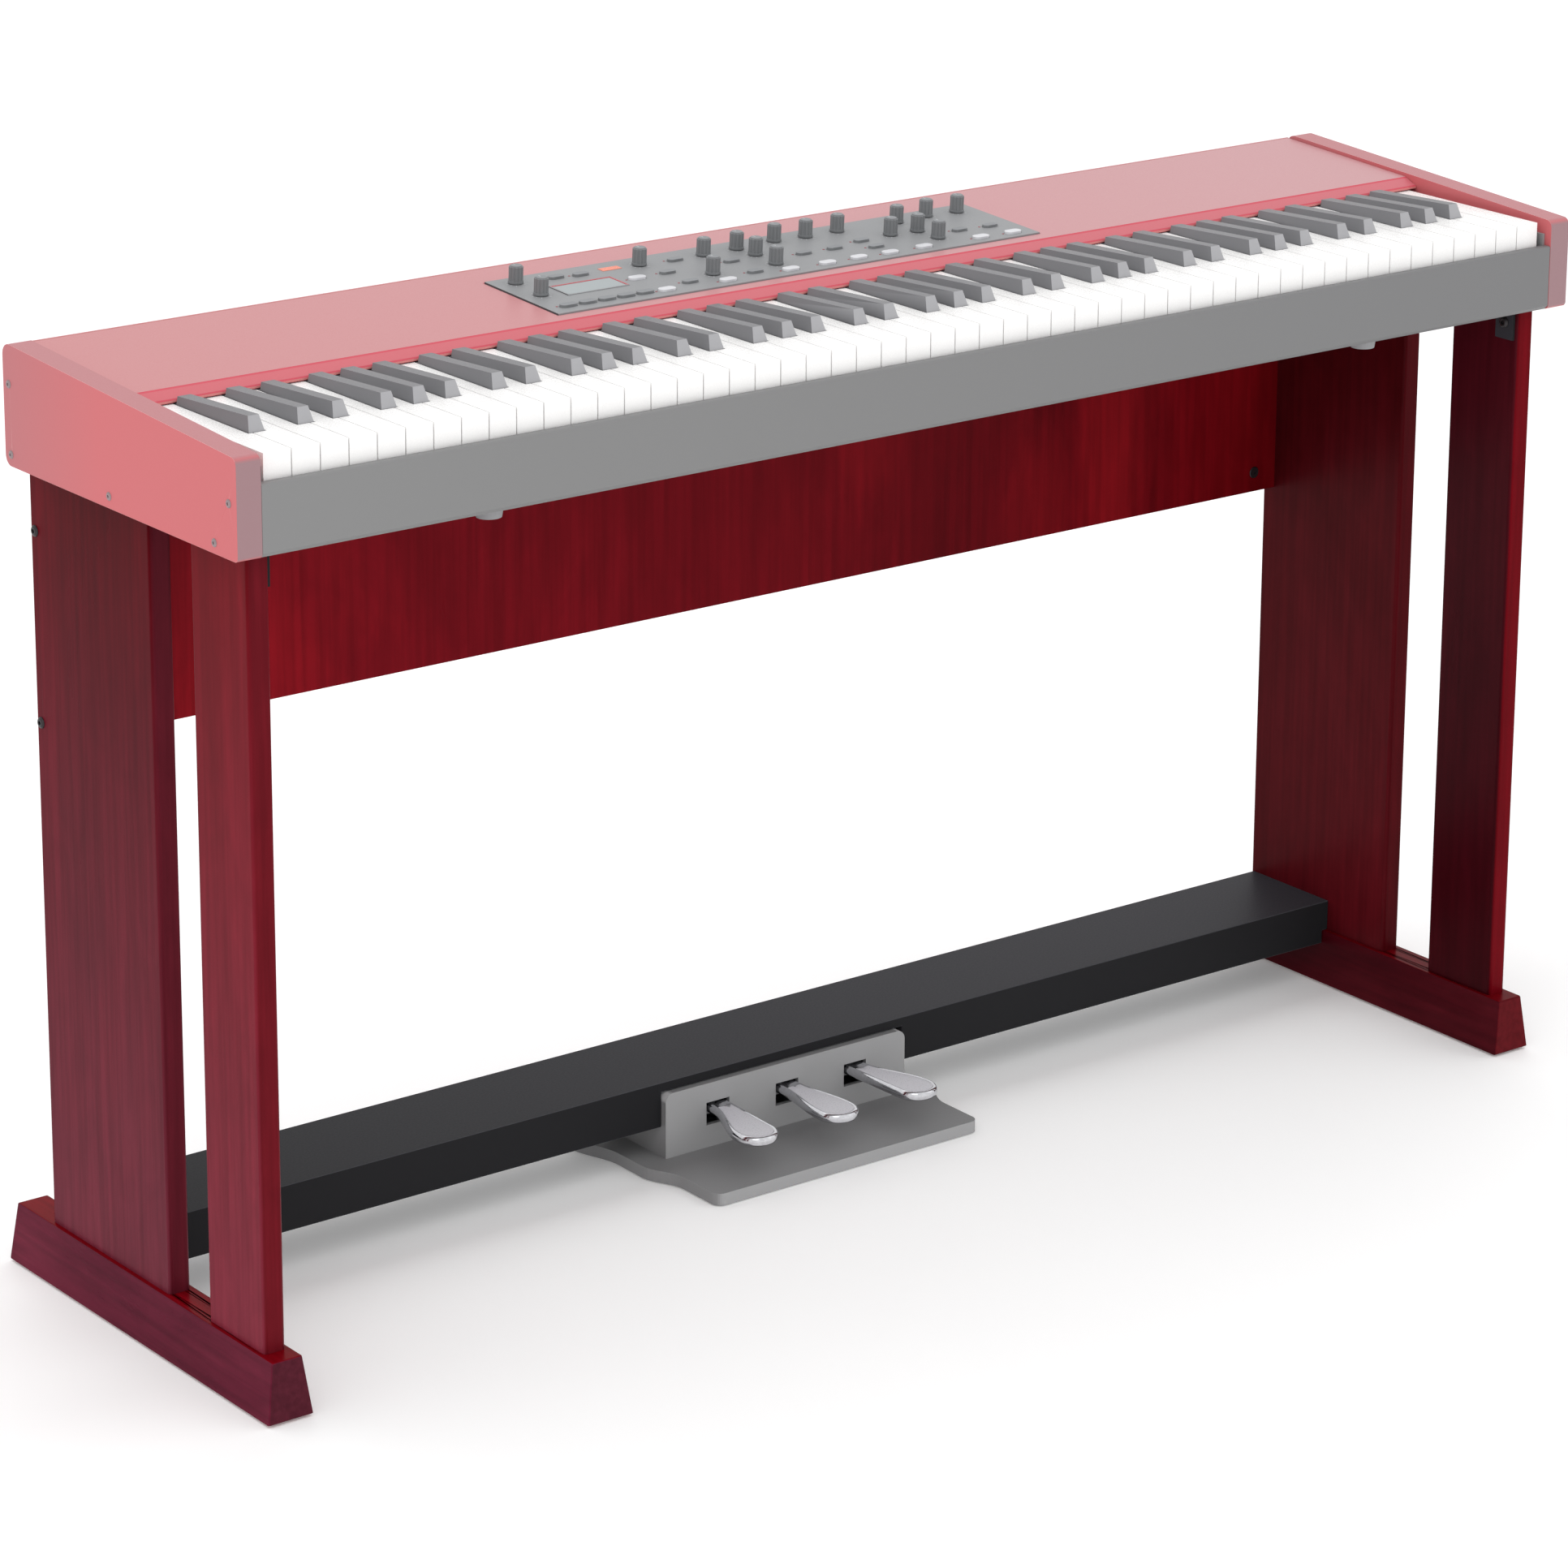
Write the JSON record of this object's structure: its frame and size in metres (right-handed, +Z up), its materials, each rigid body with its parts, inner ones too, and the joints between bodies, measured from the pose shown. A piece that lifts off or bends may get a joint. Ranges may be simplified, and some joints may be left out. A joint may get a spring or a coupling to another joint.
{
  "type": "digital piano on stand",
  "caption": "Full-size digital piano with sloping top, control panel of knobs and buttons, wooden stand with back panel, and a floor pedal unit.",
  "frame": {"origin": "on the floor at the middle of the stand's footprint", "axes": "+X from the bass keys to the treble keys, -Y towards the player, +Z up"},
  "size_m": [1.278, 0.376, 0.7519],
  "materials": {
    "lacquer": "gloss lacquer",
    "black": "satin black",
    "steel": "brushed",
    "rubber": "matte",
    "rose": "satin",
    "grey_sheet": "matte",
    "grey_cast": "matte",
    "board": "matte",
    "black_plastic": "matte",
    "display": "gloss",
    "lens": "gloss",
    "pale_plastic": "satin",
    "knob_plastic": "matte",
    "sharp_plastic": "matte",
    "white_plastic": "gloss",
    "chrome": "polished"
  },
  "bodies": {
    "case_and_stand": {"left_foot": "lacquer", "right_foot": "lacquer", "left_rear_upright": "lacquer", "left_front_upright": "lacquer", "right_rear_upright": "lacquer", "right_front_upright": "lacquer", "back_panel": "lacquer", "pedal_bar": "black", "stand_brackets": "black", "fasteners": "steel", "rubber_pads": "rubber", "left_cheek": "rose", "right_cheek": "rose", "top_cover": "rose", "rear_panel": "rose", "bottom_tray": "grey_sheet", "front_rail": "grey_cast", "key_frame": "steel", "circuit_boards": "board", "rear_sockets": "black_plastic", "control_panel": "grey_sheet", "display_window": "display", "lamp_lens": "lens", "pedal_base": "grey_cast", "pedal_shaft": "steel"},
    "keys_a": {"keys_a": "white_plastic"},
    "keys_a_sharp": {"keys_a_sharp": "sharp_plastic"},
    "keys_b": {"keys_b": "white_plastic"},
    "keys_c": {"keys_c": "white_plastic"},
    "keys_c_sharp": {"keys_c_sharp": "sharp_plastic"},
    "keys_d": {"keys_d": "white_plastic"},
    "keys_d_sharp": {"keys_d_sharp": "sharp_plastic"},
    "keys_e": {"keys_e": "white_plastic"},
    "keys_f": {"keys_f": "white_plastic"},
    "keys_f_sharp": {"keys_f_sharp": "sharp_plastic"},
    "keys_g": {"keys_g": "white_plastic"},
    "keys_g_sharp": {"keys_g_sharp": "sharp_plastic"},
    "knob_1": {"knob_1": "knob_plastic"},
    "knob_2": {"knob_2": "knob_plastic"},
    "knob_3": {"knob_3": "knob_plastic"},
    "knob_4": {"knob_4": "knob_plastic"},
    "knob_5": {"knob_5": "knob_plastic"},
    "knob_6": {"knob_6": "knob_plastic"},
    "knob_7": {"knob_7": "knob_plastic"},
    "knob_8": {"knob_8": "knob_plastic"},
    "knob_9": {"knob_9": "knob_plastic"},
    "knob_10": {"knob_10": "knob_plastic"},
    "knob_11": {"knob_11": "knob_plastic"},
    "knob_12": {"knob_12": "knob_plastic"},
    "knob_13": {"knob_13": "knob_plastic"},
    "knob_14": {"knob_14": "knob_plastic"},
    "knob_15": {"knob_15": "knob_plastic"},
    "knob_16": {"knob_16": "knob_plastic"},
    "knob_17": {"knob_17": "knob_plastic"},
    "dark_buttons": {"dark_buttons": "knob_plastic"},
    "light_buttons": {"light_buttons": "pale_plastic"},
    "power_switch": {"power_switch": "black_plastic"},
    "pedal_left": {"pedal_left": "chrome"},
    "pedal_middle": {"pedal_middle": "chrome"},
    "pedal_right": {"pedal_right": "chrome"}
  },
  "joints": [
    {"name": "keys_a_press", "type": "hinge", "parent": "case_and_stand", "child": "keys_a", "pos_m": [0, 0.0395, 0.7068], "axis": [1, 0, 0], "range_deg": [0, 2.65], "stiffness_Nm_per_rad": 5, "springref_deg": -25.78},
    {"name": "keys_a_sharp_press", "type": "hinge", "parent": "case_and_stand", "child": "keys_a_sharp", "pos_m": [0, 0.0395, 0.7068], "axis": [1, 0, 0], "range_deg": [0, 2.65], "stiffness_Nm_per_rad": 5, "springref_deg": -25.78},
    {"name": "keys_b_press", "type": "hinge", "parent": "case_and_stand", "child": "keys_b", "pos_m": [0, 0.0395, 0.7068], "axis": [1, 0, 0], "range_deg": [0, 2.65], "stiffness_Nm_per_rad": 5, "springref_deg": -25.78},
    {"name": "keys_c_press", "type": "hinge", "parent": "case_and_stand", "child": "keys_c", "pos_m": [0, 0.0395, 0.7068], "axis": [1, 0, 0], "range_deg": [0, 2.65], "stiffness_Nm_per_rad": 5, "springref_deg": -25.78},
    {"name": "keys_c_sharp_press", "type": "hinge", "parent": "case_and_stand", "child": "keys_c_sharp", "pos_m": [0, 0.0395, 0.7068], "axis": [1, 0, 0], "range_deg": [0, 2.65], "stiffness_Nm_per_rad": 5, "springref_deg": -25.78},
    {"name": "keys_d_press", "type": "hinge", "parent": "case_and_stand", "child": "keys_d", "pos_m": [0, 0.0395, 0.7068], "axis": [1, 0, 0], "range_deg": [0, 2.65], "stiffness_Nm_per_rad": 5, "springref_deg": -25.78},
    {"name": "keys_d_sharp_press", "type": "hinge", "parent": "case_and_stand", "child": "keys_d_sharp", "pos_m": [0, 0.0395, 0.7068], "axis": [1, 0, 0], "range_deg": [0, 2.65], "stiffness_Nm_per_rad": 5, "springref_deg": -25.78},
    {"name": "keys_e_press", "type": "hinge", "parent": "case_and_stand", "child": "keys_e", "pos_m": [0, 0.0395, 0.7068], "axis": [1, 0, 0], "range_deg": [0, 2.65], "stiffness_Nm_per_rad": 5, "springref_deg": -25.78},
    {"name": "keys_f_press", "type": "hinge", "parent": "case_and_stand", "child": "keys_f", "pos_m": [0, 0.0395, 0.7068], "axis": [1, 0, 0], "range_deg": [0, 2.65], "stiffness_Nm_per_rad": 5, "springref_deg": -25.78},
    {"name": "keys_f_sharp_press", "type": "hinge", "parent": "case_and_stand", "child": "keys_f_sharp", "pos_m": [0, 0.0395, 0.7068], "axis": [1, 0, 0], "range_deg": [0, 2.65], "stiffness_Nm_per_rad": 5, "springref_deg": -25.78},
    {"name": "keys_g_press", "type": "hinge", "parent": "case_and_stand", "child": "keys_g", "pos_m": [0, 0.0395, 0.7068], "axis": [1, 0, 0], "range_deg": [0, 2.65], "stiffness_Nm_per_rad": 5, "springref_deg": -25.78},
    {"name": "keys_g_sharp_press", "type": "hinge", "parent": "case_and_stand", "child": "keys_g_sharp", "pos_m": [0, 0.0395, 0.7068], "axis": [1, 0, 0], "range_deg": [0, 2.65], "stiffness_Nm_per_rad": 5, "springref_deg": -25.78},
    {"name": "knob_1_turn", "type": "hinge", "parent": "case_and_stand", "child": "knob_1", "pos_m": [-0.22174, 0.08352, 0.73608], "axis": [0, -0.056, 0.9984], "range_deg": [-150, 150]},
    {"name": "knob_2_turn", "type": "hinge", "parent": "case_and_stand", "child": "knob_2", "pos_m": [-0.2233, 0.04744, 0.73406], "axis": [0, -0.056, 0.9984], "range_deg": [-150, 150]},
    {"name": "knob_3_turn", "type": "hinge", "parent": "case_and_stand", "child": "knob_3", "pos_m": [-0.10918, 0.07858, 0.73581], "axis": [0, -0.056, 0.9984], "range_deg": [-150, 150]},
    {"name": "knob_4_turn", "type": "hinge", "parent": "case_and_stand", "child": "knob_4", "pos_m": [-0.04899, 0.0766, 0.7357], "axis": [0, -0.056, 0.9984], "range_deg": [-150, 150]},
    {"name": "knob_5_turn", "type": "hinge", "parent": "case_and_stand", "child": "knob_5", "pos_m": [-0.07401, 0.03014, 0.73309], "axis": [0, -0.056, 0.9984], "range_deg": [-150, 150]},
    {"name": "knob_6_turn", "type": "hinge", "parent": "case_and_stand", "child": "knob_6", "pos_m": [-0.01538, 0.07858, 0.73581], "axis": [0, -0.056, 0.9984], "range_deg": [-150, 150]},
    {"name": "knob_7_turn", "type": "hinge", "parent": "case_and_stand", "child": "knob_7", "pos_m": [-0.01225, 0.05782, 0.73464], "axis": [0, -0.056, 0.9984], "range_deg": [-150, 150]},
    {"name": "knob_8_turn", "type": "hinge", "parent": "case_and_stand", "child": "knob_8", "pos_m": [0.02448, 0.08253, 0.73603], "axis": [0, -0.056, 0.9984], "range_deg": [-150, 150]},
    {"name": "knob_9_turn", "type": "hinge", "parent": "case_and_stand", "child": "knob_9", "pos_m": [-0.01382, 0.02915, 0.73304], "axis": [0, -0.056, 0.9984], "range_deg": [-150, 150]},
    {"name": "knob_10_turn", "type": "hinge", "parent": "case_and_stand", "child": "knob_10", "pos_m": [0.05419, 0.08055, 0.73592], "axis": [0, -0.056, 0.9984], "range_deg": [-150, 150]},
    {"name": "knob_11_turn", "type": "hinge", "parent": "case_and_stand", "child": "knob_11", "pos_m": [0.08624, 0.08105, 0.73595], "axis": [0, -0.056, 0.9984], "range_deg": [-150, 150]},
    {"name": "knob_12_turn", "type": "hinge", "parent": "case_and_stand", "child": "knob_12", "pos_m": [0.1175, 0.05189, 0.73431], "axis": [0, -0.056, 0.9984], "range_deg": [-150, 150]},
    {"name": "knob_13_turn", "type": "hinge", "parent": "case_and_stand", "child": "knob_13", "pos_m": [0.14486, 0.07907, 0.73584], "axis": [0, -0.056, 0.9984], "range_deg": [-150, 150]},
    {"name": "knob_14_turn", "type": "hinge", "parent": "case_and_stand", "child": "knob_14", "pos_m": [0.1433, 0.04991, 0.7342], "axis": [0, -0.056, 0.9984], "range_deg": [-150, 150]},
    {"name": "knob_15_turn", "type": "hinge", "parent": "case_and_stand", "child": "knob_15", "pos_m": [0.17769, 0.08253, 0.73603], "axis": [0, -0.056, 0.9984], "range_deg": [-150, 150]},
    {"name": "knob_16_turn", "type": "hinge", "parent": "case_and_stand", "child": "knob_16", "pos_m": [0.14564, 0.02619, 0.73287], "axis": [0, -0.056, 0.9984], "range_deg": [-150, 150]},
    {"name": "knob_17_turn", "type": "hinge", "parent": "case_and_stand", "child": "knob_17", "pos_m": [0.20818, 0.08055, 0.73592], "axis": [0, -0.056, 0.9984], "range_deg": [-150, 150]},
    {"name": "dark_buttons_press", "type": "slide", "parent": "case_and_stand", "child": "dark_buttons", "axis": [0, 0.056, -0.9984], "range_m": [0, 0.0012], "stiffness_N_per_m": 2000, "springref_m": -0.001},
    {"name": "light_buttons_press", "type": "slide", "parent": "case_and_stand", "child": "light_buttons", "axis": [0, 0.056, -0.9984], "range_m": [0, 0.0012], "stiffness_N_per_m": 2000, "springref_m": -0.001},
    {"name": "power_switch_rock", "type": "hinge", "parent": "case_and_stand", "child": "power_switch", "pos_m": [-0.52, 0.1265, 0.6915], "axis": [1, 0, 0], "range_deg": [-20, 0]},
    {"name": "pedal_left_press", "type": "hinge", "parent": "case_and_stand", "child": "pedal_left", "pos_m": [-0.068, 0.0945, 0.044], "axis": [1, 0, 0], "range_deg": [0, 4.4], "stiffness_Nm_per_rad": 6, "springref_deg": -14.32},
    {"name": "pedal_middle_press", "type": "hinge", "parent": "case_and_stand", "child": "pedal_middle", "pos_m": [0.002, 0.0945, 0.044], "axis": [1, 0, 0], "range_deg": [0, 4.4], "stiffness_Nm_per_rad": 6, "springref_deg": -14.32},
    {"name": "pedal_right_press", "type": "hinge", "parent": "case_and_stand", "child": "pedal_right", "pos_m": [0.072, 0.0945, 0.044], "axis": [1, 0, 0], "range_deg": [0, 4.4], "stiffness_Nm_per_rad": 6, "springref_deg": -14.32}
  ]
}
